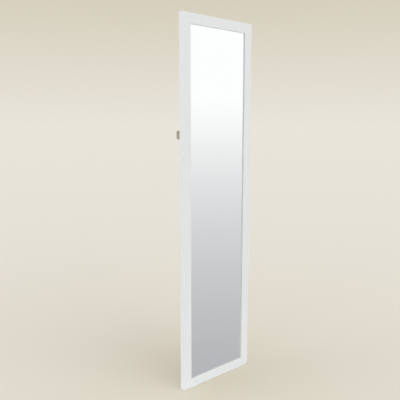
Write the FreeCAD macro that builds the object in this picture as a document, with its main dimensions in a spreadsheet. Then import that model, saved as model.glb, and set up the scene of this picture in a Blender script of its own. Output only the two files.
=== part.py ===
import FreeCAD, Part
import os
import Sketcher
from FreeCAD import Placement, Rotation, Vector

# A standing mirror: a white mitred frame round a tall pane, with a stand that folds flat behind it.
# Millimetres. X runs to the right as seen from the front, Y to the back and Z up. The floor is z = 0.
# The origin is in the middle of the width and, with the stand folded, of the depth.

# Driving dimensions, in millimetres, with angles in degrees
SIZES = {
    # Frame
    "frame_width": 400,
    "frame_height": 1600,
    "frame_depth": 24,
    "face_width": 43,
    "lip_depth": 5,
    "rabbet_width": 9,
    "corner_radius": 3,
    "outer_edge_radius": 2,
    "inner_edge_radius": 1,
    # Mitre splines, loose tongues across the corner joints
    "spline_length": 26,
    "spline_width": 14,
    "spline_thickness": 4,
    "spline_clearance": 0.1,
    # Pane and what backs it
    "pane_thickness": 4,
    "pane_arris": 0.6,
    "pane_gap": 1.5,
    "setting_block_length": 40,
    "setting_block_spread": 190,
    "liner_thickness": 2,
    "panel_thickness": 3,
    # Glazing points, tabs driven into the walls of the rabbet
    "point_width": 10,
    "point_length": 14,
    "point_bite": 7,
    "point_taper": 5,
    "point_tip_width": 4,
    "point_corner_radius": 2,
    "point_thickness": 0.8,
    "point_clearance": 0.05,
    "point_end_margin": 160,
    "point_rail_spread": 170,
    # Corner braces, flat angles on the back of the frame
    "brace_arm": 62,
    "brace_width": 14,
    "brace_thickness": 1.5,
    "brace_inset": 10,
    "brace_end_radius": 5,
    "brace_near_screw": 40,
    "brace_far_screw": 60,
    # Screws
    "screw_clearance": 0.05,
    "screw_tip_length": 3,
    "screw_tip_radius": 0.4,
    "brace_screw_head_radius": 3,
    "brace_screw_radius": 1.5,
    "brace_screw_length": 14,
    "brace_screw_recess": 1,
    "brace_screw_sink": 0.2,
    "long_screw_head_radius": 3.6,
    "long_screw_head_height": 2.6,
    "long_screw_radius": 2,
    "long_screw_recess": 1.4,
    "bracket_screw_length": 26,
    "rung_screw_length": 50,
    "recess_width": 1.2,
    "recess_span": 3.4,
    # Floor pads under the bottom rail
    "floor_pad_height": 1.5,
    "floor_pad_length": 40,
    "floor_pad_width": 20,
    "floor_pad_inset": 40,
    # Pivot brackets
    "bracket_inset": 0.5,
    "bracket_width": 14,
    "bracket_height": 36,
    "bracket_depth": 19,
    "bracket_corner_radius": 8,
    "bracket_edge_radius": 1.2,
    "bracket_seat": 10,
    "bracket_screw_spread": 22,
    # Pivot
    "pivot_drop": 486,
    "pivot_standoff": 10.5,
    "pin_radius": 3,
    "pin_bite": 11,
    "pin_chamfer": 0.6,
    "running_clearance": 0.05,
    "bush_wall": 1.5,
    "flange_radius": 7,
    "flange_thickness": 1,
    "side_play": 0.2,
    "cap_radius": 6.5,
    "cap_rim": 1,
    "cap_grip": 2.6,
    "cap_dome_radius": 4.5,
    "cap_dome_height": 4,
    # Rear stand
    "open_angle": 17,
    "stop_gap": 0.3,
    "leg_width": 18,
    "leg_depth": 15,
    "leg_edge_radius": 1.5,
    "heel_radius": 6,
    "foot_lift": 10,
    "foot_thickness": 4,
    "foot_inset": 0.8,
    "rung_height": 30,
    "rung_depth": 12,
    "rung_edge_radius": 1.5,
    "upper_rung_drop": 60,
    "lower_rung_height": 250,
    "rung_screw_spread": 15,
    "rung_screw_sink": 4,
    # Bumpers between the folded legs and the stiles
    "bumper_radius": 6,
    "bumper_height": 380,
    "bumper_gap": 0.3,
}

# Places that follow from the sizes
PLACES = {
    "half_width": "sizes.frame_width / 2",
    "front": "-(sizes.frame_depth + sizes.bracket_depth) / 2",
    "back": "front + sizes.frame_depth",
    "middle": "(front + back) / 2",
    "bottom": "sizes.floor_pad_height",
    "top": "bottom + sizes.frame_height",
    "centre": "(bottom + top) / 2",
    "opening_half": "half_width - sizes.face_width",
    "opening_bottom": "bottom + sizes.face_width",
    "opening_top": "top - sizes.face_width",
    "rabbet_half": "opening_half + sizes.rabbet_width",
    "rabbet_bottom": "opening_bottom - sizes.rabbet_width",
    "rabbet_top": "opening_top + sizes.rabbet_width",
    "pane_front": "front + sizes.lip_depth",
    "pane_back": "pane_front + sizes.pane_thickness",
    "liner_back": "pane_back + sizes.liner_thickness",
    "panel_back": "liner_back + sizes.panel_thickness",
    "spline_inset": "(sizes.face_width - sizes.rabbet_width) / 2",
    "brace_line": "sizes.brace_inset + sizes.brace_width / 2",
    "pivot_y": "back + sizes.pivot_standoff",
    "pivot_z": "top - sizes.pivot_drop",
    "bracket_outer": "half_width - sizes.bracket_inset",
    "bracket_inner": "bracket_outer - sizes.bracket_width",
    "leg_outer": "bracket_inner - sizes.flange_thickness - sizes.side_play",
    "leg_inner": "leg_outer - sizes.leg_width",
    "leg_middle": "(leg_outer + leg_inner) / 2",
    "leg_front": "pivot_y - sizes.leg_depth / 2",
    "leg_rear": "pivot_y + sizes.leg_depth / 2",
    "bush_radius": "sizes.pin_radius + sizes.running_clearance + sizes.bush_wall",
    "cap_face": "leg_inner - sizes.side_play",
    "upper_rung_middle": "pivot_z - sizes.upper_rung_drop",
    # The open stand: its heel meets the stile, and its foot and the pads stand on one leaning floor
    "open_sine": "sin(sizes.open_angle)",
    "open_cosine": "cos(sizes.open_angle)",
    "open_slope": "tan(sizes.open_angle)",
    "heel_reach": "(sizes.pivot_standoff - sizes.stop_gap - sizes.leg_depth / 2 * open_cosine) / open_sine",
    "heel_top": "pivot_z + heel_reach",
    "foot_reach": "pivot_z - sizes.foot_lift",
    "open_foot_y": "pivot_y - sizes.leg_depth / 2 * open_cosine + foot_reach * open_sine",
    "open_foot_z": "pivot_z - sizes.leg_depth / 2 * open_sine - foot_reach * open_cosine",
    "lean_slope": "open_foot_z / (open_foot_y - middle - sizes.floor_pad_width / 2)",
    "sole_slope": "(open_slope - lean_slope) / (1 + open_slope * lean_slope)",
    "sole_drop": "sizes.leg_depth * sole_slope",
}

LEFT_AND_RIGHT = (-1, 1)
SIDE_POINT_COUNT = 5
CORNER_TURNS = (0, 90, 180, 270)
TINY = 1e-4

# Directions in which a screw's head can face, as turns of a screw whose head faces up
HEAD_TO_BACK = Rotation(Vector(1, 0, 0), -90)
HEAD_TO_LEFT = Rotation(Vector(0, 1, 0), -90)
HEAD_TO_RIGHT = Rotation(Vector(0, 1, 0), 90)

# Directions from a wall of the rabbet to the opening, as turns of a glazing point that lies along X
FROM_LEFT = Rotation(Vector(0, 1, 0), 0)
FROM_RIGHT = Rotation(Vector(0, 1, 0), 180)
FROM_BELOW = Rotation(Vector(0, 1, 0), -90)
FROM_ABOVE = Rotation(Vector(0, 1, 0), 90)

doc = FreeCAD.newDocument("standing_mirror")
nodes = []


# Document helpers

def fill_sheet(name, entries, prefix):
    """A spreadsheet of named cells."""
    sheet = doc.addObject("Spreadsheet::Sheet", name)
    for row, (alias, entry) in enumerate(entries.items(), start=1):
        sheet.set(f"A{row}", alias)
        sheet.set(f"B{row}", f"{prefix}{entry}")
        sheet.setAlias(f"B{row}", alias)
    doc.recompute()
    return sheet


sizes = fill_sheet("sizes", SIZES, "")
places = fill_sheet("places", PLACES, "=")


def value(expression):
    """The number that an expression has now, in millimetres."""
    result = sizes.evalExpression(expression)
    return float(getattr(result, "Value", result))


def bind(thing, expressions):
    """Bind properties of an object to expressions of the two sheets."""
    for path, expression in expressions.items():
        thing.setExpression(path, expression)
    return thing


def put(thing, x="0", y="0", z="0"):
    """Bind the place of an object."""
    return bind(thing, {"Placement.Base.x": x, "Placement.Base.y": y, "Placement.Base.z": z})


def node(thing, label):
    """Name an object as a sub-part that is handed on."""
    thing.Label = label
    nodes.append(thing)
    return thing


def new(kind, name):
    return doc.addObject(kind, name)


# Sketch and feature helpers

def sketch_on(body, name, role, offset="0"):
    """A sketch on one of the body's origin planes, moved along that plane's normal."""
    plane = next(part for part in body.Origin.OriginFeatures if part.Role == role)
    sketch = body.newObject("Sketcher::SketchObject", name)
    sketch.AttachmentSupport = [(plane, "")]
    sketch.MapMode = "FlatFace"
    return bind(sketch, {"AttachmentOffset.Base.z": offset})


def pin_point(sketch, geometry, vertex, across, up):
    """Hold one point of a sketch at a place given by two expressions."""
    for kind, expression in (("DistanceX", across), ("DistanceY", up)):
        rule = Sketcher.Constraint(kind, -1, 1, geometry, vertex, value(expression))
        index = sketch.addConstraint(rule)
        sketch.setExpression(f"Constraints[{index}]", expression)


def draw_outline(sketch, corners):
    """A closed outline of straight lines through corners that are pairs of expressions."""
    first = sketch.GeometryCount
    points = [Vector(value(across), value(up), 0) for across, up in corners]
    ends = points[1:] + points[:1]
    for start, end in zip(points, ends):
        sketch.addGeometry(Part.LineSegment(start, end))
    count = len(points)
    for index in range(count):
        following = first + (index + 1) % count
        sketch.addConstraint(Sketcher.Constraint("Coincident", first + index, 2, following, 1))
    for index, (across, up) in enumerate(corners):
        pin_point(sketch, first + index, 1, across, up)
    return sketch


def rectangle(left, right, low, high):
    """The four corners of an upright rectangle."""
    return [(left, low), (right, low), (right, high), (left, high)]


def pad(body, sketch, length, reverse=False):
    feature = body.newObject("PartDesign::Pad", "pad")
    feature.Profile = sketch
    feature.Reversed = reverse
    return bind(feature, {"Length": length})


def pocket(body, sketch, length):
    """Cut against the normal of the sketch, and make sure that something was cut."""
    doc.recompute()
    before = body.Shape.Volume
    feature = body.newObject("PartDesign::Pocket", "pocket")
    feature.Profile = sketch
    bind(feature, {"Length": length})
    doc.recompute()
    if body.Shape.Volume > before - TINY:
        raise RuntimeError(f"a pocket of {body.Name} cut nothing")
    return feature


def turn(body, sketch, axis):
    feature = body.newObject("PartDesign::Revolution", "turn")
    feature.Profile = sketch
    feature.ReferenceAxis = (sketch, [axis])
    feature.Angle = 360
    return feature


def dress(body, kind, dimension, size, chosen):
    """Work those edges of a body that pass a test."""
    doc.recompute()
    base = body.Tip
    edges = enumerate(base.Shape.Edges, start=1)
    names = [f"Edge{index}" for index, edge in edges if chosen(edge)]
    feature = body.newObject(f"PartDesign::{kind}", kind.lower())
    feature.Base = (base, names)
    return bind(feature, {dimension: size})


def fillet(body, radius, chosen):
    """Round those edges of a body that pass a test."""
    return dress(body, "Fillet", "Radius", radius, chosen)


def chamfer(body, size, chosen):
    """Bevel those edges of a body that pass a test."""
    return dress(body, "Chamfer", "Size", size, chosen)


def runs_along(edge, direction):
    """Whether an edge is straight and parallel to a direction."""
    if not isinstance(edge.Curve, Part.Line):
        return False
    return edge.Curve.Direction.cross(direction).Length < TINY


def lies_at(edge, axis, expression):
    """Whether all of an edge lies on the plane where one coordinate has a given value."""
    level = value(expression)
    return all(abs(getattr(vertex.Point, axis) - level) < TINY for vertex in edge.Vertexes)


# Part helpers

def block(name, start, size):
    """A box from its lowest corner and its size along X, Y and Z, as expressions."""
    box = put(new("Part::Box", name), *start)
    return bind(box, dict(zip(("Length", "Width", "Height"), size)))


def group(name, members):
    """Several separate solids as one object."""
    compound = new("Part::Compound", name)
    compound.Links = members
    return compound


def copy_at(master, name, rotation, place):
    """A copy of a master solid at a place given by three expressions."""
    link = new("App::Link", name)
    link.LinkedObject = master
    link.LinkTransform = False
    link.Placement = Placement(Vector(), rotation)
    return put(link, *place)


def cut(name, base, tool):
    result = new("Part::Cut", name)
    result.Base = base
    result.Tool = tool
    return result


def mirrored(name, source):
    """The right-hand twin of a left-hand piece."""
    twin = new("Part::Mirroring", name)
    twin.Source = source
    twin.Normal = Vector(1, 0, 0)
    return twin


# Screws, modelled with the top of the head at the origin and the shank pointing down

def turned(name, profile):
    """A solid of revolution about Z from a profile of radius and height pairs."""
    body = new("PartDesign::Body", name)
    turn(body, draw_outline(sketch_on(body, f"{name}_profile", "XZ_Plane"), profile), "V_Axis")
    return body


def drive_recess(body, depth):
    """A cross recess in the head of a screw."""
    arm = "sizes.recess_span / 2"
    half = "sizes.recess_width / 2"
    cross = [
        (half, half), (half, arm), (f"-{half}", arm), (f"-{half}", half),
        (f"-{arm}", half), (f"-{arm}", f"-{half}"), (f"-{half}", f"-{half}"), (f"-{half}", f"-{arm}"),
        (half, f"-{arm}"), (half, f"-{half}"), (arm, f"-{half}"), (arm, half),
    ]
    sketch = draw_outline(sketch_on(body, f"{body.Name}_recess_outline", "XY_Plane"), cross)
    pocket(body, sketch, depth)


def blunt_tip(shank, length, room="0"):
    """The end of a screw's profile: a cone with a small flat, wider and deeper by the room of a hole."""
    shank_end = f"sizes.screw_tip_length - {length}"
    tip = f"-({length}) - {room}"
    return [(f"{shank} + {room}", shank_end), (f"sizes.screw_tip_radius + {room}", tip), ("0", tip)]


def flat_screw():
    """The countersunk screw of the braces, and the hole that it sits in, a little under the face."""
    head = "sizes.brace_screw_head_radius"
    shank = "sizes.brace_screw_radius"
    length = "sizes.brace_screw_length"
    room = "sizes.screw_clearance"
    rise = f"sizes.brace_screw_sink + {room}"
    under_head = f"{shank} - {head}"
    screw = turned("brace_screw", [("0", "0"), (head, "0"), (shank, under_head)] + blunt_tip(shank, length))
    drive_recess(screw, "sizes.brace_screw_recess")
    hole = turned("brace_screw_hole", [
        ("0", rise), (f"{head} + {rise} + {room}", rise), (f"{shank} + {room}", under_head),
    ] + blunt_tip(shank, length, room))
    return screw, hole


def long_screw(name, length, headroom):
    """A cylinder-head screw, and its hole with a counterbore of the given height over the head."""
    head = "sizes.long_screw_head_radius"
    under_head = "-sizes.long_screw_head_height"
    shank = "sizes.long_screw_radius"
    room = "sizes.screw_clearance"
    screw = turned(name, [
        ("0", "0"), (head, "0"), (head, under_head), (shank, under_head),
    ] + blunt_tip(shank, length))
    drive_recess(screw, "sizes.long_screw_recess")
    hole = turned(f"{name}_hole", [
        ("0", headroom), (f"{head} + {room}", headroom), (f"{head} + {room}", under_head),
        (f"{shank} + {room}", under_head),
    ] + blunt_tip(shank, length, room))
    return screw, hole


def screw_set(name, masters, seats):
    """All the screws of one kind as a group, and all their holes as another."""
    screw, hole = masters
    screws = [copy_at(screw, f"{name}_{index}", *seat) for index, seat in enumerate(seats)]
    holes = [copy_at(hole, f"{name}_hole_{index}", *seat) for index, seat in enumerate(seats)]
    return group(name, screws), group(f"{name}_holes", holes)


def signed(sign, expression):
    return expression if sign > 0 else f"-({expression})"


def corner_places(across, up, depth):
    """The same place at each of the four corners, measured inwards from the outside of the frame."""
    for side in LEFT_AND_RIGHT:
        for end in ("bottom", "top"):
            x = signed(side, f"places.half_width - ({across})")
            z = f"places.bottom + {up}" if end == "bottom" else f"places.top - ({up})"
            yield x, depth, z


def brace_screws():
    depth = "places.back + sizes.brace_thickness - sizes.brace_screw_sink"
    line = "places.brace_line"
    seats = []
    for distance in ("sizes.brace_near_screw", "sizes.brace_far_screw"):
        for across, up in ((distance, line), (line, distance)):
            seats += [(HEAD_TO_BACK, place) for place in corner_places(across, up, depth)]
    return screw_set("brace_screws", flat_screw(), seats)


def bracket_screws():
    headroom = "sizes.bracket_depth"
    masters = long_screw("bracket_screw", "sizes.bracket_screw_length", headroom)
    depth = "places.back + sizes.bracket_seat + sizes.long_screw_head_height"
    seats = []
    for side in LEFT_AND_RIGHT:
        x = signed(side, "(places.bracket_outer + places.bracket_inner) / 2")
        for step in ("+", "-"):
            z = f"places.pivot_z {step} sizes.bracket_screw_spread / 2"
            seats.append((HEAD_TO_BACK, (x, depth, z)))
    return screw_set("bracket_screws", masters, seats)


def rung_screws():
    masters = long_screw("rung_screw", "sizes.rung_screw_length", "sizes.rung_screw_sink")
    x = "places.leg_outer - sizes.rung_screw_sink + sizes.long_screw_head_height"
    seats = []
    for side, facing in zip(LEFT_AND_RIGHT, (HEAD_TO_LEFT, HEAD_TO_RIGHT)):
        for level in ("places.upper_rung_middle", "sizes.lower_rung_height"):
            for step in ("+", "-"):
                z = f"{level} {step} sizes.rung_screw_spread / 2"
                seats.append((facing, (signed(side, x), "places.pivot_y", z)))
    return screw_set("rung_screws", masters, seats)


# Frame

def frame_blank():
    """The whole frame before it is parted at the mitres, with its opening, rabbet and rounded edges."""
    body = new("PartDesign::Body", "frame_blank")
    outside = rectangle("-places.half_width", "places.half_width", "places.bottom", "places.top")
    pad(body, draw_outline(sketch_on(body, "outside", "XZ_Plane", "-places.front"), outside),
        "sizes.frame_depth", reverse=True)
    opening = rectangle("-places.opening_half", "places.opening_half",
                        "places.opening_bottom", "places.opening_top")
    pocket(body, draw_outline(sketch_on(body, "opening", "XZ_Plane", "-places.front"), opening),
           "sizes.frame_depth")
    rabbet = rectangle("-places.rabbet_half", "places.rabbet_half",
                       "places.rabbet_bottom", "places.rabbet_top")
    pocket(body, draw_outline(sketch_on(body, "rabbet", "XZ_Plane", "-places.pane_front"), rabbet),
           "sizes.frame_depth - sizes.lip_depth")

    def is_outside(edge):
        middle = edge.CenterOfMass
        margin = value("sizes.rabbet_width") / 2
        inside_width = abs(middle.x) < value("places.rabbet_half") + margin
        inside_height = abs(middle.z - value("places.centre")) < value("sizes.frame_height") / 2 - margin
        return not (inside_width and inside_height)

    def is_corner(edge):
        return runs_along(edge, Vector(0, 1, 0)) and is_outside(edge)

    def is_outer_rim(edge):
        on_face = lies_at(edge, "y", "places.front") or lies_at(edge, "y", "places.back")
        return on_face and is_outside(edge)

    def is_inner_rim(edge):
        return lies_at(edge, "y", "places.front") and not is_outside(edge)

    fillet(body, "sizes.corner_radius", is_corner)
    fillet(body, "sizes.outer_edge_radius", is_outer_rim)
    fillet(body, "sizes.inner_edge_radius", is_inner_rim)
    return body


def mitre_splines(name, room):
    """Tongues across the mitres, half in each member, thicker and wider by the room on every side."""
    splines = []
    length = f"sizes.spline_length + 2 * {room}"
    thickness = f"sizes.spline_thickness + 2 * {room}"
    width = f"sizes.spline_width + 2 * {room}"
    inset = "places.spline_inset"
    tilts = {(-1, "bottom"): -45, (-1, "top"): 45, (1, "bottom"): 45, (1, "top"): -45}
    diagonal = f"({length} + {width}) / 2 * cos(45)"
    slant = "(sizes.spline_length - sizes.spline_width) / 2 * cos(45)"
    for (side, end), tilt in tilts.items():
        spline = new("Part::Box", name)
        spline.Placement.Rotation = Rotation(Vector(0, 1, 0), tilt)
        bind(spline, {"Length": length, "Width": thickness, "Height": width})
        x = signed(side, f"places.half_width - {inset}")
        z = f"places.bottom + {inset}" if end == "bottom" else f"places.top - {inset}"
        if tilt < 0:
            corner_x, corner_z = f"{x} - {slant}", f"{z} - {diagonal}"
        else:
            corner_x, corner_z = f"{x} - {diagonal}", f"{z} + {slant}"
        put(spline, corner_x, f"places.middle - ({thickness}) / 2", corner_z)
        splines.append(spline)
    return group(name, splines)


def glazing_point(name, room):
    """A flat tab along X, with its tapered end at the origin, larger all round by the room."""
    body = new("PartDesign::Body", name)
    end = f"sizes.point_length + {room}"
    taper = "sizes.point_taper"
    tip = f"(sizes.point_tip_width / 2 + {room})"
    half = f"(sizes.point_width / 2 + {room})"
    outline = [
        (f"-{room}", f"-{tip}"), (taper, f"-{half}"), (end, f"-{half}"),
        (end, half), (taper, half), (f"-{room}", tip),
    ]
    sketch = sketch_on(body, f"{name}_outline", "XZ_Plane", room)
    pad(body, draw_outline(sketch, outline), f"sizes.point_thickness + 2 * {room}", reverse=True)

    def is_free_corner(edge):
        return runs_along(edge, Vector(0, 1, 0)) and lies_at(edge, "x", end)

    fillet(body, "sizes.point_corner_radius", is_free_corner)
    return body


def glazing_points(name, room):
    """Tabs that bite into the walls of the rabbet and press on the back of the panel."""
    master = glazing_point(name, room)
    side_x = "(places.rabbet_half + sizes.point_bite)"
    run = "(sizes.frame_height - 2 * sizes.point_end_margin)"
    last = SIDE_POINT_COUNT - 1
    seats = []
    for index in range(SIDE_POINT_COUNT):
        z = f"places.bottom + sizes.point_end_margin + {run} * {index} / {last}"
        seats += [(FROM_LEFT, f"-{side_x}", z), (FROM_RIGHT, side_x, z)]
    for side in LEFT_AND_RIGHT:
        x = signed(side, "sizes.point_rail_spread / 2")
        seats.append((FROM_BELOW, x, "places.rabbet_bottom - sizes.point_bite"))
        seats.append((FROM_ABOVE, x, "places.rabbet_top + sizes.point_bite"))
    points = []
    for index, (rotation, x, z) in enumerate(seats):
        points.append(copy_at(master, f"{name}_{index}", rotation, (x, "places.panel_back", z)))
    return group(f"{name}s", points)


def member(label, blank, outline):
    """One member of the frame: the stretch of the blank that lies between two mitres."""
    body = new("PartDesign::Body", f"{label}_stretch")
    margin = "sizes.frame_depth"
    sketch = sketch_on(body, f"{label}_outline", "XZ_Plane", f"{margin} - places.front")
    pad(body, draw_outline(sketch, outline), f"sizes.frame_depth + 2 * {margin}", reverse=True)
    piece = new("Part::Common", label)
    piece.Base = blank
    piece.Tool = body
    return node(piece, label)


def frame_members(blank):
    """Part the blank along the mitres, which run at 45 degrees through its corners."""
    beyond = "sizes.face_width"
    reach = "sizes.face_width + sizes.rabbet_width"
    outer = rectangle(
        f"-places.half_width - {beyond}", f"places.half_width + {beyond}",
        f"places.bottom - {beyond}", f"places.top + {beyond}")
    inner = rectangle(
        f"{reach} - places.half_width", f"places.half_width - ({reach})",
        f"places.bottom + {reach}", f"places.top - ({reach})")
    labels = ("bottom_rail", "right_stile", "top_rail", "left_stile")
    for index, label in enumerate(labels):
        following = (index + 1) % len(labels)
        member(label, blank, [outer[index], outer[following], inner[following], inner[index]])


def corner_braces(holes):
    """Four flat angles, each across one mitre, with countersunk holes."""
    master = new("PartDesign::Body", "corner_brace")
    arm = "sizes.brace_arm"
    wide = "sizes.brace_width"
    angle = [("0", "0"), (arm, "0"), (arm, wide), (wide, wide), (wide, arm), ("0", arm)]
    pad(master, draw_outline(sketch_on(master, "brace_outline", "XZ_Plane"), angle),
        "sizes.brace_thickness", reverse=True)

    def is_end(edge):
        along_y = runs_along(edge, Vector(0, 1, 0))
        return along_y and max(edge.CenterOfMass.x, edge.CenterOfMass.z) > value(arm) - TINY

    fillet(master, "sizes.brace_end_radius", is_end)
    places_round = [
        ("sizes.brace_inset - places.half_width", "places.bottom + sizes.brace_inset"),
        ("sizes.brace_inset - places.half_width", "places.top - sizes.brace_inset"),
        ("places.half_width - sizes.brace_inset", "places.top - sizes.brace_inset"),
        ("places.half_width - sizes.brace_inset", "places.bottom + sizes.brace_inset"),
    ]
    braces = []
    for angle_turned, (x, z) in zip(CORNER_TURNS, places_round):
        rotation = Rotation(Vector(0, 1, 0), angle_turned)
        braces.append(copy_at(master, "brace", rotation, (x, "places.back", z)))
    node(cut("braces", group("brace_blanks", braces), holes), "corner_braces")


def frame(brace_holes, bracket_holes):
    """The four members with everything that is let into them, and the braces over the mitres."""
    node(mitre_splines("spline", "0"), "mitre_splines")
    node(glazing_points("point", "0"), "glazing_points")
    spline_slots = mitre_splines("spline_slot", "sizes.spline_clearance")
    point_slots = glazing_points("point_slot", "sizes.point_clearance")
    cavities = group("frame_cavities", [spline_slots, point_slots, brace_holes, bracket_holes])
    frame_members(cut("frame_with_cavities", frame_blank(), cavities))
    corner_braces(brace_holes)


# Pane, liner and back panel

def sheets():
    """The pane on its setting blocks, and the liner and panel behind it."""
    half = "(places.rabbet_half - sizes.pane_gap)"
    low = "places.rabbet_bottom + sizes.pane_gap"
    high = "places.rabbet_top - sizes.pane_gap"

    def sheet(label, depth, thickness):
        body = new("PartDesign::Body", label)
        sketch = sketch_on(body, f"{label}_outline", "XZ_Plane", f"-{depth}")
        pad(body, draw_outline(sketch, rectangle(f"-{half}", half, low, high)), thickness, reverse=True)
        return node(body, label)

    def is_sharp(edge):
        return lies_at(edge, "y", "places.pane_front") or lies_at(edge, "y", "places.pane_back")

    pane = sheet("mirror_pane", "places.pane_front", "sizes.pane_thickness")
    chamfer(pane, "sizes.pane_arris", is_sharp)
    sheet("liner_card", "places.pane_back", "sizes.liner_thickness")
    sheet("back_panel", "places.liner_back", "sizes.panel_thickness")
    blocks = []
    for side in LEFT_AND_RIGHT:
        x = f"{signed(side, 'sizes.setting_block_spread / 2')} - sizes.setting_block_length / 2"
        size = ("sizes.setting_block_length", "sizes.pane_thickness", "sizes.pane_gap")
        blocks.append(block("setting_block", (x, "places.pane_front", "places.rabbet_bottom"), size))
    node(group("setting_blocks", blocks), "pane_setting_blocks")


def floor_pads():
    """Thin pads on which the frame stands."""
    for side, label in zip(LEFT_AND_RIGHT, ("left_floor_pad", "right_floor_pad")):
        middle = "places.half_width - sizes.floor_pad_inset - sizes.floor_pad_length / 2"
        x = f"{signed(side, middle)} - sizes.floor_pad_length / 2"
        y = "places.middle - sizes.floor_pad_width / 2"
        size = ("sizes.floor_pad_length", "sizes.floor_pad_width", "sizes.floor_pad_height")
        node(block(label, (x, y, "0"), size), label)


# Pivots

def along_pivot(name, profile):
    """A solid of revolution about the pivot, from a profile of places along X and radii."""
    body = put(new("PartDesign::Body", name), "0", "places.pivot_y", "places.pivot_z")
    turn(body, draw_outline(sketch_on(body, f"{name}_profile", "XY_Plane"), profile), "H_Axis")
    return body


def pair(left_piece, label):
    """Name a left-hand piece and its right-hand twin."""
    node(left_piece, f"left_{label}")
    node(mirrored(f"{label}_twin", left_piece), f"right_{label}")


def pin_profile(room):
    """From its end inside the bracket to its end inside the cap, larger all round by the room."""
    start = f"-places.bracket_inner - sizes.pin_bite - {room}"
    end = f"-places.cap_face + sizes.cap_grip + {room}"
    radius = f"sizes.pin_radius + {room}"
    bevel = "sizes.pin_chamfer"
    return [
        (start, "0"), (start, f"{radius} - {bevel}"), (f"{start} + {bevel}", radius),
        (f"{end} - {bevel}", radius), (end, f"{radius} - {bevel}"), (end, "0"),
    ]


def pivots(bracket_holes):
    """Bracket, pin, bush and cap of the left pivot, and their twins."""
    pin = along_pivot("pin", pin_profile("0"))
    pin_room = along_pivot("pin_room", pin_profile("sizes.running_clearance"))

    body = new("PartDesign::Body", "bracket_blank")
    low = "places.pivot_z - sizes.bracket_height / 2"
    high = "places.pivot_z + sizes.bracket_height / 2"
    rear = "places.back + sizes.bracket_depth"
    sketch = sketch_on(body, "bracket_outline", "YZ_Plane", "-places.bracket_outer")
    pad(body, draw_outline(sketch, rectangle("places.back", rear, low, high)), "sizes.bracket_width")

    def is_rear_corner(edge):
        return runs_along(edge, Vector(1, 0, 0)) and lies_at(edge, "y", rear)

    def is_side_rim(edge):
        on_side = lies_at(edge, "x", "-places.bracket_outer") or lies_at(edge, "x", "-places.bracket_inner")
        return on_side and not lies_at(edge, "y", "places.back")

    fillet(body, "sizes.bracket_corner_radius", is_rear_corner)
    fillet(body, "sizes.bracket_edge_radius", is_side_rim)
    bracket = cut("bracket", body, group("bracket_cavities", [pin_room, bracket_holes]))
    pair(bracket, "pivot_bracket")
    pair(pin, "pivot_pin")

    bore = "sizes.pin_radius + sizes.running_clearance"
    flange_face = "-places.leg_outer - sizes.flange_thickness"
    bush = along_pivot("bush", [
        (flange_face, bore), (flange_face, "sizes.flange_radius"),
        ("-places.leg_outer", "sizes.flange_radius"), ("-places.leg_outer", "places.bush_radius"),
        ("-places.leg_inner", "places.bush_radius"), ("-places.leg_inner", bore),
    ])
    pair(bush, "pivot_bush")

    face = "-places.cap_face"
    rim = f"{face} + sizes.cap_rim"
    crown = f"{face} + sizes.cap_dome_height"
    grip_end = f"{face} + sizes.cap_grip + sizes.running_clearance"
    cap = along_pivot("cap", [
        (face, bore), (face, "sizes.cap_radius"), (rim, "sizes.cap_radius"), (rim, "sizes.cap_dome_radius"),
        (f"{crown} - sizes.cap_rim", "sizes.cap_dome_radius"),
        (crown, "sizes.cap_dome_radius - sizes.cap_rim"), (crown, "0"), (grip_end, "0"), (grip_end, bore),
    ])
    node(group("caps", [cap, mirrored("cap_twin", cap)]), "pivot_caps")


# Rear stand

def long_edges_of(direction, low, high):
    """A test for the edges that run along a leg or rung from one end to the other."""
    def chosen(edge):
        return runs_along(edge, direction) and edge.Length > (value(high) - value(low)) / 2
    return chosen


def leg(holes):
    """The left leg, from its heel above the pivot to its sloping end above the foot."""
    body = new("PartDesign::Body", "leg_blank")
    front_end = "sizes.foot_lift + sizes.foot_thickness"
    side_view = [
        ("places.leg_front", front_end), ("places.leg_rear", f"{front_end} - places.sole_drop"),
        ("places.leg_rear", "places.heel_top"), ("places.leg_front", "places.heel_top"),
    ]
    sketch = sketch_on(body, "leg_outline", "YZ_Plane", "-places.leg_outer")
    pad(body, draw_outline(sketch, side_view), "sizes.leg_width")

    def is_heel_rear(edge):
        along_x = runs_along(edge, Vector(1, 0, 0))
        return along_x and lies_at(edge, "z", "places.heel_top") and lies_at(edge, "y", "places.leg_rear")

    fillet(body, "sizes.heel_radius", is_heel_rear)
    fillet(body, "sizes.leg_edge_radius",
           long_edges_of(Vector(0, 0, 1), "sizes.foot_lift", "places.heel_top"))

    bush_room = along_pivot("bush_room", rectangle(
        "-places.leg_outer", "-places.leg_inner", "0", "places.bush_radius + sizes.running_clearance"))
    pair(cut("leg", body, group("leg_cavities", [bush_room, holes])), "leg")


def leg_foot():
    """A rubber foot on the sloping end of the leg, its sole flat on the floor when the stand is open."""
    body = new("PartDesign::Body", "foot")
    inset = "sizes.foot_inset"
    slope = "places.sole_slope"
    front = f"places.leg_front + {inset}"
    rear = f"places.leg_rear - {inset}"
    front_sole = f"sizes.foot_lift - {inset} * {slope}"
    rear_sole = f"sizes.foot_lift - places.sole_drop + {inset} * {slope}"
    side_view = [
        (front, front_sole), (rear, rear_sole),
        (rear, f"{rear_sole} + sizes.foot_thickness"), (front, f"{front_sole} + sizes.foot_thickness"),
    ]
    sketch = sketch_on(body, "foot_outline", "YZ_Plane", f"{inset} - places.leg_outer")
    pad(body, draw_outline(sketch, side_view), f"sizes.leg_width - 2 * {inset}")
    pair(body, "leg_foot")


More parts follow.
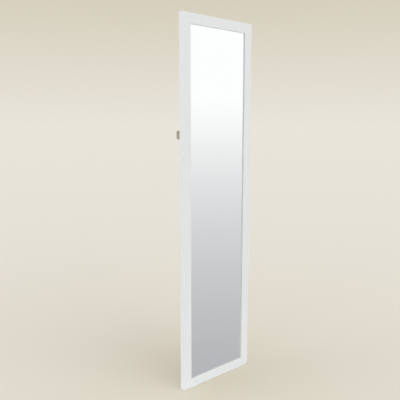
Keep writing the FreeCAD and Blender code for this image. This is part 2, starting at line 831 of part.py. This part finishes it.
def rung(label, level, holes):
    """A bar between the legs, with rounded long edges."""
    body = new("PartDesign::Body", f"{label}_blank")
    section = rectangle(
        "places.pivot_y - sizes.rung_depth / 2", "places.pivot_y + sizes.rung_depth / 2",
        f"{level} - sizes.rung_height / 2", f"{level} + sizes.rung_height / 2")
    sketch = sketch_on(body, f"{label}_section", "YZ_Plane", "-places.leg_inner")
    pad(body, draw_outline(sketch, section), "2 * places.leg_inner")
    fillet(body, "sizes.rung_edge_radius",
           long_edges_of(Vector(1, 0, 0), "-places.leg_inner", "places.leg_inner"))
    node(cut(f"{label}_bar", body, holes), label)


def bumpers():
    """Felt dots on the stiles, just short of the folded legs."""
    dots = []
    for side in LEFT_AND_RIGHT:
        dot = new("Part::Cylinder", "bumper")
        dot.Placement.Rotation = HEAD_TO_BACK
        height = "places.leg_front - places.back - sizes.bumper_gap"
        bind(dot, {"Radius": "sizes.bumper_radius", "Height": height})
        dots.append(put(dot, signed(side, "places.leg_middle"), "places.back", "sizes.bumper_height"))
    node(group("bumpers", dots), "leg_bumpers")


def rear_stand(holes):
    leg(holes)
    leg_foot()
    rung("upper_rung", "places.upper_rung_middle", holes)
    rung("lower_rung", "sizes.lower_rung_height", holes)


# Whole object

def check():
    """Stop before anything is written if an object failed or a sub-part has no sound shape."""
    doc.recompute()
    for thing in doc.Objects:
        if "Invalid" in thing.State or "Error" in thing.State:
            raise RuntimeError(f"{thing.Name} failed: {thing.State}")
    for thing in nodes:
        shape = thing.Shape
        if shape.isNull() or not shape.isValid() or not shape.Solids:
            raise RuntimeError(f"{thing.Label} has no sound shape")


def write():
    os.makedirs("parts", exist_ok=True)
    for thing in nodes:
        thing.Shape.exportStep(f"parts/{thing.Label}.step")
        print(thing.Label, len(thing.Shape.Solids), round(thing.Shape.Volume, 1))


brace_fixings, brace_holes = brace_screws()
bracket_fixings, bracket_holes = bracket_screws()
rung_fixings, rung_holes = rung_screws()
node(brace_fixings, "corner_brace_screws")
node(bracket_fixings, "bracket_screws")
node(rung_fixings, "rung_screws")
frame(brace_holes, bracket_holes)
sheets()
floor_pads()
pivots(bracket_holes)
rear_stand(rung_holes)
bumpers()
check()
write()
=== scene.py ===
import math
import random

import bmesh
import bpy
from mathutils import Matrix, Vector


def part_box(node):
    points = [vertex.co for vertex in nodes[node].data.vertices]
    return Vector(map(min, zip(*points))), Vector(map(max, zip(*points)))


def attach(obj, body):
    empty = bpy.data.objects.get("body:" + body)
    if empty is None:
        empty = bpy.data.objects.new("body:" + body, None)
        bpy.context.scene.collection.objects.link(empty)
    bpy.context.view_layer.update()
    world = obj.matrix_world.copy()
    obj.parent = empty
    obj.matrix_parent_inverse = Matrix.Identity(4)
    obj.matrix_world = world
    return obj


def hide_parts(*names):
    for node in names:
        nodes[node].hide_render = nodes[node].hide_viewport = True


# A standing mirror in a white frame, with a folding stand behind it, on a pale studio floor.
# Metres. X runs to the right as seen from the front, Y to the back and Z up. The floor is z = 0.

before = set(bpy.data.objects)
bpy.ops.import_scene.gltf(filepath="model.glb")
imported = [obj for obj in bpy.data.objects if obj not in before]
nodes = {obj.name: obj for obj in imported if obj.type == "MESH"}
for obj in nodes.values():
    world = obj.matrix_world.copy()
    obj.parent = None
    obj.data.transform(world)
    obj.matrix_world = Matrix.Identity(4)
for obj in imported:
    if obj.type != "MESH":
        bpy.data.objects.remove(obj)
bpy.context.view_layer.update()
MM = 0.001


# Shader helpers

# The length of one wave of a wave texture whose scale is 1
WAVE_LENGTH = math.tau / 20


class Graph:
    """A tree of shader nodes under construction."""

    def __init__(self, tree):
        self.tree = tree

    def add(self, kind):
        return self.tree.nodes.new(kind)

    def feed(self, source, target):
        """Puts a number, a colour or the output of another node into a socket."""
        if isinstance(source, bpy.types.NodeSocket):
            self.tree.links.new(source, target)
        elif target.type == "RGBA":
            target.default_value = (*source, 1)
        else:
            target.default_value = source

    def combine(self, operation, first, second):
        """A number worked out from two others."""
        node = self.add("ShaderNodeMath")
        node.operation = operation
        self.feed(first, node.inputs[0])
        self.feed(second, node.inputs[1])
        return node.outputs["Value"]

    def spread(self, factor, low, high, full=1.0):
        """A factor from 0 to its full value, spread between two values."""
        node = self.add("ShaderNodeMapRange")
        self.feed(factor, node.inputs["Value"])
        self.feed(full, node.inputs["From Max"])
        self.feed(low, node.inputs["To Min"])
        self.feed(high, node.inputs["To Max"])
        return node.outputs["Result"]

    def contrast(self, factor, gain):
        """A factor from 0 to 1, drawn apart about its middle."""
        return self.spread(factor, (1 - gain) / 2, (1 + gain) / 2)

    def blend(self, factor, first, second):
        """A colour between two others."""
        node = self.add("ShaderNodeMix")
        node.data_type = "RGBA"
        self.feed(factor, node.inputs["Factor"])
        ends = [socket for socket in node.inputs if socket.type == "RGBA"]
        self.feed(first, ends[0])
        self.feed(second, ends[1])
        return next(socket for socket in node.outputs if socket.type == "RGBA")

    def choose(self, factor, first, second):
        """The first shader where the factor is 0, the second where it is 1."""
        node = self.add("ShaderNodeMixShader")
        self.feed(factor, node.inputs["Fac"])
        self.feed(first, node.inputs[1])
        self.feed(second, node.inputs[2])
        return node.outputs["Shader"]

    def light(self, kind, colour, strength):
        """A shader that gives light: an emitting surface or the background."""
        node = self.add(kind)
        self.feed(colour, node.inputs["Color"])
        self.feed(strength, node.inputs["Strength"])
        return node.outputs[0]

    def mirrored(self, rays):
        """1 for what a mirror or clear piece shows, 0 for what it only lights."""
        shown = self.combine("MAXIMUM", rays.outputs["Is Glossy Ray"], rays.outputs["Is Transmission Ray"])
        direct = self.combine("LESS_THAN", rays.outputs["Diffuse Depth"], 1)
        return self.combine("MULTIPLY", shown, direct)


class Surface(Graph):
    """A material under construction: its nodes, its main shader and the coordinates of its surface."""

    def __init__(self, name):
        self.material = bpy.data.materials.new(name)
        self.material.use_nodes = True
        super().__init__(self.material.node_tree)
        self.shader = self.tree.nodes["Principled BSDF"]
        self.place = self.add("ShaderNodeTexCoord").outputs["Object"]

    def set(self, name, value):
        """A constant of the main shader."""
        self.feed(value, self.shader.inputs[name])
        return self

    def noise(self, size, detail=2.0, stretch=(1, 1, 1)):
        """Random unevenness from 0 to 1. Its features have about the given size divided by the stretch."""
        scaled = self.add("ShaderNodeVectorMath")
        scaled.operation = "MULTIPLY"
        self.feed(self.place, scaled.inputs[0])
        self.feed(stretch, scaled.inputs[1])
        texture = self.add("ShaderNodeTexNoise")
        self.feed(scaled.outputs["Vector"], texture.inputs["Vector"])
        self.feed(1 / size, texture.inputs["Scale"])
        self.feed(detail, texture.inputs["Detail"])
        return texture.outputs["Fac"]

    def ridges(self, pitch, direction):
        """Parallel ridges across one axis, from 0 to 1."""
        texture = self.add("ShaderNodeTexWave")
        texture.wave_type = "BANDS"
        texture.bands_direction = direction
        self.feed(self.place, texture.inputs["Vector"])
        self.feed(WAVE_LENGTH / pitch, texture.inputs["Scale"])
        return texture.outputs["Fac"]

    def grains(self, size):
        """Crystal grains of the given size, each with a value of its own from 0 to 1."""
        texture = self.add("ShaderNodeTexVoronoi")
        self.feed(self.place, texture.inputs["Vector"])
        self.feed(1 / size, texture.inputs["Scale"])
        axes = self.add("ShaderNodeSeparateXYZ")
        self.feed(texture.outputs["Color"], axes.inputs["Vector"])
        return axes.outputs["X"]

    def colour(self, factor, first, second):
        """Gives the surface a colour between two others."""
        self.feed(self.blend(factor, first, second), self.shader.inputs["Base Color"])

    def roughness(self, factor, low, high):
        """Makes the surface rougher as the factor grows."""
        self.feed(self.spread(factor, low, high), self.shader.inputs["Roughness"])

    def relief(self, height, depth):
        """Gives the surface small bumps, as deep as the given depth."""
        node = self.add("ShaderNodeBump")
        self.feed(depth, node.inputs["Distance"])
        self.feed(height, node.inputs["Height"])
        self.feed(node.outputs["Normal"], self.shader.inputs["Normal"])


# Materials. Each one has the name of the slots that it is for.

def white_lacquer():
    """Sprayed satin lacquer with a faint orange peel."""
    surface = Surface("white_lacquer")
    surface.colour(surface.noise(150 * MM, detail=3), (0.800, 0.812, 0.806), (0.770, 0.784, 0.779))
    surface.roughness(surface.noise(25 * MM, detail=3), low=0.30, high=0.42)
    surface.relief(surface.noise(2.2 * MM), depth=0.03 * MM)
    return surface.material


def silvered_glass():
    """A mirror: nearly perfect, with the slow waviness of float glass."""
    surface = Surface("silvered_glass").set("Metallic", 1.0)
    surface.colour(surface.noise(300 * MM), (0.985, 0.990, 0.990), (0.975, 0.983, 0.985))
    surface.roughness(surface.noise(60 * MM), low=0.0, high=0.012)
    surface.relief(surface.noise(350 * MM, detail=0), depth=0.03 * MM)
    return surface.material


def bronze_casting():
    """Bronze paint on a casting, with the grain of the sand mould."""
    surface = Surface("bronze_casting").set("Metallic", 0.30)
    surface.colour(surface.noise(6 * MM, detail=4), (0.43, 0.365, 0.275), (0.35, 0.29, 0.21))
    surface.roughness(surface.noise(3 * MM, detail=3), low=0.42, high=0.58)
    surface.relief(surface.noise(1.1 * MM, detail=3), depth=0.08 * MM)
    return surface.material


def galvanised_steel():
    """Steel dipped in zinc, dull, with the grains of the zinc showing."""
    surface = Surface("galvanised_steel").set("Metallic", 1.0)
    grains = surface.grains(3.5 * MM)
    surface.colour(grains, (0.37, 0.38, 0.40), (0.48, 0.49, 0.51))
    surface.roughness(grains, low=0.34, high=0.50)
    surface.relief(surface.noise(0.8 * MM, detail=3), depth=0.015 * MM)
    return surface.material


def zinc_steel():
    """Zinc plated steel with fine drawing marks."""
    surface = Surface("zinc_steel").set("Metallic", 1.0)
    surface.colour(surface.noise(4 * MM, detail=4), (0.74, 0.75, 0.76), (0.62, 0.63, 0.65))
    surface.roughness(surface.noise(2 * MM, detail=3, stretch=(1, 1, 6)), low=0.22, high=0.36)
    surface.relief(surface.noise(0.5 * MM, stretch=(1, 1, 8)), depth=0.01 * MM)
    return surface.material


def hardboard():
    """Brown pressed fibre with the print of a wire screen on its rough side."""
    surface = Surface("hardboard")
    fibres = surface.noise(5 * MM, detail=8, stretch=(1, 1, 0.4))
    clouds = surface.noise(120 * MM, detail=3)
    cloud_share = 0.4
    mottle = surface.spread(cloud_share, fibres, clouds)
    surface.colour(surface.contrast(mottle, gain=2.2), (0.21, 0.125, 0.068), (0.40, 0.265, 0.155))
    surface.roughness(fibres, low=0.70, high=0.90)
    pitch = 2 * MM
    screen = surface.combine("MULTIPLY", surface.ridges(pitch, "X"), surface.ridges(pitch, "Z"))
    surface.relief(surface.combine("ADD", screen, fibres), depth=0.15 * MM)
    return surface.material


def liner_card():
    """Grey unbleached card."""
    surface = Surface("liner_card")
    surface.colour(surface.noise(2 * MM, detail=6), (0.46, 0.40, 0.32), (0.36, 0.31, 0.25))
    surface.roughness(surface.noise(1 * MM), low=0.85, high=0.95)
    surface.relief(surface.noise(0.6 * MM, detail=4), depth=0.04 * MM)
    return surface.material


def nylon():
    """Natural nylon, slightly yellowed."""
    surface = Surface("nylon")
    surface.colour(surface.noise(8 * MM), (0.78, 0.76, 0.70), (0.71, 0.69, 0.63))
    surface.roughness(surface.noise(2 * MM), low=0.38, high=0.50)
    surface.relief(surface.noise(0.8 * MM), depth=0.01 * MM)
    return surface.material


def black_rubber():
    """Matt black rubber with a fine grain."""
    surface = Surface("black_rubber")
    surface.colour(surface.noise(5 * MM, detail=4), (0.020, 0.020, 0.021), (0.040, 0.040, 0.041))
    surface.roughness(surface.noise(2 * MM), low=0.60, high=0.78)
    surface.relief(surface.noise(0.5 * MM, detail=3), depth=0.03 * MM)
    return surface.material


def clear_rubber():
    """Milky soft plastic that lets some light through."""
    surface = Surface("clear_rubber").set("Transmission Weight", 0.35).set("IOR", 1.43)
    surface.colour(surface.noise(6 * MM), (0.82, 0.84, 0.84), (0.75, 0.77, 0.78))
    surface.roughness(surface.noise(3 * MM), low=0.30, high=0.42)
    surface.relief(surface.noise(1 * MM), depth=0.01 * MM)
    return surface.material


def felt():
    """Grey pressed wool."""
    surface = Surface("felt").set("Sheen Weight", 0.4)
    surface.colour(surface.noise(0.7 * MM, detail=6), (0.26, 0.25, 0.24), (0.46, 0.45, 0.43))
    surface.roughness(surface.noise(1 * MM), low=0.90, high=1.0)
    surface.relief(surface.noise(0.35 * MM, detail=5), depth=0.20 * MM)
    return surface.material


def beech():
    """Bare beech with an upright grain."""
    surface = Surface("beech")
    grain = (1, 1, 0.2)
    surface.colour(surface.noise(1.5 * MM, detail=5, stretch=grain), (0.62, 0.45, 0.29), (0.48, 0.33, 0.20))
    surface.roughness(surface.noise(2 * MM), low=0.55, high=0.70)
    surface.relief(surface.noise(0.8 * MM, detail=4, stretch=grain), depth=0.05 * MM)
    return surface.material


makers = (white_lacquer, silvered_glass, bronze_casting, galvanised_steel, zinc_steel, hardboard,
          liner_card, nylon, black_rubber, clear_rubber, felt, beech)
finishes = {make.__name__: make() for make in makers}
for node in nodes.values():
    for slot in node.material_slots:
        slot.material = finishes[slot.material.name.split(".")[0]]


# Rubber and felt pieces

QUARTER_STEPS = 5
SMOOTH_ANGLE = math.radians(35)


def quarter_turn():
    """Angles over a quarter of a turn."""
    return [math.pi / 2 * step / QUARTER_STEPS for step in range(QUARTER_STEPS + 1)]


def add_skin(shape, outlines):
    """Closes a skin over a row of outlines that have the same number of points."""
    rings = [[shape.verts.new(point) for point in outline] for outline in outlines]
    for ring, following in zip(rings, rings[1:]):
        for corner in range(len(ring)):
            shape.faces.new((ring[corner - 1], ring[corner], following[corner], following[corner - 1]))
    shape.faces.new(rings[0])
    shape.faces.new(rings[-1])


def add_piece(name, shape, node, body, finish):
    """Makes a shape into a piece that stands for a CAD node."""
    bmesh.ops.recalc_face_normals(shape, faces=shape.faces)
    mesh = bpy.data.meshes.new(name)
    shape.to_mesh(mesh)
    shape.free()
    mesh.materials.append(finishes[finish])
    mesh.shade_smooth()
    mesh.set_sharp_from_angle(angle=SMOOTH_ANGLE)
    piece = bpy.data.objects.new(name, mesh)
    bpy.context.scene.collection.objects.link(piece)
    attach(piece, body)
    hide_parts(node)
    return piece


FOOT_THICKNESS = 4 * MM
FOOT_CORNER = 2.5 * MM
FOOT_EDGE = 0.35 * MM
FOOT_EDGE_STEPS = 2
GROOVES = 5
GROOVE_DEPTH = 0.7 * MM


def ribbed_foot(side):
    """A rubber foot with grooves across its sole. It slopes, so that it lies flat when the stand is open."""
    low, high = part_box(f"{side}_leg_foot")
    slope = (high[2] - low[2] - FOOT_THICKNESS) / (high[1] - low[1])
    pitch = (high[1] - low[1]) / (2 * GROOVES + 1)
    profile = [(high[1], FOOT_THICKNESS), (low[1], FOOT_THICKNESS)]
    for band in range(2 * GROOVES + 1):
        height = GROOVE_DEPTH if band % 2 else 0
        profile += [(low[1] + edge * pitch, height) for edge in (band, band + 1)]
    middle = (low[1] + high[1]) / 2
    half_width = high[1] - middle

    def section(x, inset):
        narrow = 1 - inset / half_width
        return [(x, middle + (y - middle) * narrow, low[2] + (high[1] - y) * slope + z) for y, z in profile]

    corner = [(FOOT_CORNER * (1 - math.cos(turn)), FOOT_CORNER * (1 - math.sin(turn)))
              for turn in quarter_turn()]
    shape = bmesh.new()
    add_skin(shape, [section(low[0] + along, inset) for along, inset in corner]
             + [section(high[0] - along, inset) for along, inset in reversed(corner)])
    foot = add_piece(f"{side}_foot_sole", shape, f"{side}_leg_foot", "rear_stand", "black_rubber")
    rounding = foot.modifiers.new("rounded_edges", "BEVEL")
    rounding.width = FOOT_EDGE
    rounding.segments = FOOT_EDGE_STEPS
    rounding.angle_limit = SMOOTH_ANGLE


PAD_CORNER = 3.5 * MM
PAD_EDGE = 0.5 * MM
PAD_RIM = 2.2 * MM
PAD_DISH = 0.4 * MM


def floor_pad(side):
    """A soft pad under the bottom rail, with a raised rim round its sole."""
    low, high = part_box(f"{side}_floor_pad")
    middle = [(low[axis] + high[axis]) / 2 for axis in range(2)]
    half = [(high[axis] - low[axis]) / 2 for axis in range(2)]

    def outline(inset, z):
        radius = PAD_CORNER - inset
        points = []
        for quarter in range(4):
            across = 1 if quarter in (0, 3) else -1
            along = 1 if quarter < 2 else -1
            for turn in quarter_turn():
                angle = turn + quarter * math.pi / 2
                points.append((middle[0] + across * (half[0] - PAD_CORNER) + radius * math.cos(angle),
                               middle[1] + along * (half[1] - PAD_CORNER) + radius * math.sin(angle), z))
        return points

    edge = [outline(PAD_EDGE * (1 - math.cos(turn)), low[2] + PAD_EDGE * (1 - math.sin(turn)))
            for turn in quarter_turn()]
    dish = [outline(PAD_RIM, low[2]), outline(PAD_RIM + PAD_DISH, low[2] + PAD_DISH)]
    shape = bmesh.new()
    add_skin(shape, [outline(0, high[2])] + edge + dish)
    add_piece(f"{side}_rubber_pad", shape, f"{side}_floor_pad", "mirror", "clear_rubber")


DOT_POINTS = 48
DOT_RINGS = 9
DOT_EDGE = 0.9 * MM
DOT_FUZZ = 0.15 * MM
WOOL_SEED = 4


def felt_dots():
    """The two dots of felt that the folded legs come to rest by: soft edges and a woolly face."""
    low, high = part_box("leg_bumpers")
    radius = (high[2] - low[2]) / 2
    height = (low[2] + high[2]) / 2
    wool = random.Random(WOOL_SEED)

    def ring(x, y, size):
        points = []
        for step in range(DOT_POINTS):
            angle = math.tau * step / DOT_POINTS
            fuzzy = size - DOT_FUZZ * wool.random()
            points.append((x + fuzzy * math.cos(angle), y - DOT_FUZZ * wool.random(),
                           height + fuzzy * math.sin(angle)))
        return points

    shape = bmesh.new()
    for x in (low[0] + radius, high[0] - radius):
        base = [ring(x, low[1] + DOT_FUZZ, radius)]
        edge = [ring(x, high[1] - DOT_EDGE * (1 - math.sin(turn)), radius - DOT_EDGE * (1 - math.cos(turn)))
                for turn in quarter_turn()]
        face = [ring(x, high[1], (radius - DOT_EDGE) * (1 - step / DOT_RINGS))
                for step in range(1, DOT_RINGS)]
        add_skin(shape, base + edge + face)
    add_piece("felt_dots", shape, "leg_bumpers", "mirror", "felt")


for side in ("left", "right"):
    ribbed_foot(side)
    floor_pad(side)
felt_dots()


# Studio

# Colours as the camera sees them: the floor by the object, the floor far away and the backdrop high above it
# The floor is painted darker by the object: painted shade round its base, like a soft shadow
FLOOR_NEAR = (0.680, 0.628, 0.510)
FLOOR_FAR = (0.815, 0.780, 0.706)
BACKDROP_HIGH = (0.633, 0.581, 0.450)
FLOOR_LENGTH = 0.7
FLOOR_HALF_SIZE = 150
BACKDROP_RISE = 0.3

# Part of what the camera sees of the floor is free of shadow: this share by the object, all of it far away
SHADELESS_NEAR = 0.35
HORIZON_LENGTH = 40

# A painted reflection: the floor and backdrop as the mirror shows them, a cool grey by the object, white far
# away
MIRROR_NEAR = (0.458, 0.462, 0.480)
MIRROR_FAR = (0.94, 0.94, 0.94)
MIRROR_LENGTH = 4.4
MIRROR_FADE_HEIGHT = 0.06

# The light on the object: from all round, from two broad lamps, and back from the floor, most of it close by
WHITE = (1, 1, 1)
EVEN_LIGHT = 0.60
LAMP_AZIMUTHS = {"front_lamp": 12, "left_lamp": 258}
LAMP_STRENGTH = 1.58
LAMP_SPREAD = math.radians(70)
LAMP_HEIGHT = math.radians(10)
# The floor's bounce colour is painted brighter by the object: a painted pool of light
BOUNCE_NEAR = (0.98, 0.98, 0.98)
BOUNCE_FAR = (0.55, 0.55, 0.55)
BOUNCE_LENGTH = 2.5

# The light on the floor, which gets this share of a lamp's strength
LAMP_ON_FLOOR = 0.24
FLOOR_LIGHT = EVEN_LIGHT + len(LAMP_AZIMUTHS) * LAMP_STRENGTH * LAMP_ON_FLOOR / math.pi


def floor_finish():
    """A pale matt floor, painted darker by the object as painted shade. In the mirror it is a painted
    reflection, a grey one that fades to white, and its bounce is a painted pool of light.
    """
    surface = Surface("floor")
    rays = surface.add("ShaderNodeLightPath")
    seen = rays.outputs["Is Camera Ray"]
    measure = surface.add("ShaderNodeVectorMath")
    measure.operation = "LENGTH"
    surface.feed(surface.place, measure.inputs[0])
    distance = measure.outputs["Value"]

    def fade(length, near, far):
        """A colour that changes away from the object, and is half changed at the given distance."""
        changed = surface.combine("DIVIDE", distance, surface.combine("ADD", distance, length))
        return surface.blend(changed, near, far)

    # The floor's colour, divided by the light on it, is painted darker by the object as painted shade
    near_paint = [channel / FLOOR_LIGHT for channel in FLOOR_NEAR]
    far_paint = [channel / FLOOR_LIGHT for channel in FLOOR_FAR]
    paint = fade(FLOOR_LENGTH, near_paint, far_paint)
    # The light the floor gives back comes from a colour painted brighter near the object, a painted pool of
    # light
    bounce = fade(BOUNCE_LENGTH, BOUNCE_NEAR, BOUNCE_FAR)
    surface.colour(seen, bounce, paint)
    surface.set("Roughness", 1.0).set("Specular IOR Level", 0.0)

    # The floor's glow for the camera, also painted darker by the object as painted shade
    even = surface.light("ShaderNodeEmission", fade(FLOOR_LENGTH, FLOOR_NEAR, FLOOR_FAR), 1)
    shadeless = surface.spread(distance, SHADELESS_NEAR, 1, full=HORIZON_LENGTH)
    seen_even = surface.combine("MULTIPLY", seen, shadeless)
    painted = surface.choose(seen_even, surface.shader.outputs["BSDF"], even)
    # What the mirror shows of the floor: a painted reflection, grey by the object and white far away
    shown = surface.light("ShaderNodeEmission", fade(MIRROR_LENGTH, MIRROR_NEAR, MIRROR_FAR), 1)
    result = surface.choose(surface.mirrored(rays), painted, shown)
    surface.feed(result, surface.tree.nodes["Material Output"].inputs["Surface"])
    return surface.material


def studio_floor():
    edge = FLOOR_HALF_SIZE
    corners = [(-edge, -edge, 0), (edge, -edge, 0), (edge, edge, 0), (-edge, edge, 0)]
    mesh = bpy.data.meshes.new("floor")
    mesh.from_pydata(corners, [], [range(len(corners))])
    mesh.materials.append(floor_finish())
    floor = bpy.data.objects.new("floor", mesh)
    bpy.context.scene.collection.objects.link(floor)


def studio_world():
    """Even white light. The camera sees a pale backdrop, painted darker high up as painted shade, and the
    mirror shows a painted reflection: white above a grey band at the horizon.
    """
    world = bpy.data.worlds.new("studio")
    world.use_nodes = True
    world.node_tree.nodes.clear()
    bpy.context.scene.world = world
    graph = Graph(world.node_tree)
    rays = graph.add("ShaderNodeLightPath")
    axes = graph.add("ShaderNodeSeparateXYZ")
    graph.feed(graph.add("ShaderNodeTexCoord").outputs["Generated"], axes.inputs["Vector"])
    height = axes.outputs["Z"]
    # The backdrop is painted darker higher up: painted shade, like studio light falling off
    backdrop = graph.blend(graph.spread(height, 0, 1, full=BACKDROP_RISE), FLOOR_FAR, BACKDROP_HIGH)
    # The backdrop as the mirror shows it: a painted reflection, grey at the horizon and white above
    painted_reflection = graph.blend(graph.spread(height, 0, 1, full=MIRROR_FADE_HEIGHT), MIRROR_FAR, WHITE)
    light = graph.light("ShaderNodeBackground", WHITE, EVEN_LIGHT)
    shown = graph.light("ShaderNodeBackground", painted_reflection, 1)
    seen = graph.light("ShaderNodeBackground", backdrop, 1)
    unseen = graph.choose(graph.mirrored(rays), light, shown)
    result = graph.choose(rays.outputs["Is Camera Ray"], unseen, seen)
    graph.feed(result, graph.add("ShaderNodeOutputWorld").inputs["Surface"])


def broad_lamp(name, azimuth):
    """A wide soft light from one side, the same everywhere. Azimuth 0 is the front, and 90 is the right."""
    light = bpy.data.lights.new(name, "SUN")
    light.energy = LAMP_STRENGTH
    light.angle = LAMP_SPREAD
    lamp = bpy.data.objects.new(name, light)
    lamp.rotation_euler = (math.pi / 2 - LAMP_HEIGHT, 0, math.radians(azimuth))
    lamp.visible_glossy = False
    bpy.context.scene.collection.objects.link(lamp)


CAMERA_PLACE = (-1.5004, -1.6117, 1.1458)
CAMERA_HEADING = math.radians(41.213)
CAMERA_TILT = math.radians(8.221)
CAMERA_LENS = 45.018


def photo_camera():
    """The camera, which stands to the front left and looks slightly down."""
    data = bpy.data.cameras.new("camera")
    data.lens = CAMERA_LENS
    camera = bpy.data.objects.new("camera", data)
    camera.location = CAMERA_PLACE
    camera.rotation_euler = (math.pi / 2 - CAMERA_TILT, 0, -CAMERA_HEADING)
    bpy.context.scene.collection.objects.link(camera)
    bpy.context.scene.camera = camera


studio_floor()
studio_world()
for name, azimuth in LAMP_AZIMUTHS.items():
    broad_lamp(name, azimuth)
photo_camera()
bpy.context.scene.view_settings.view_transform = "Standard"
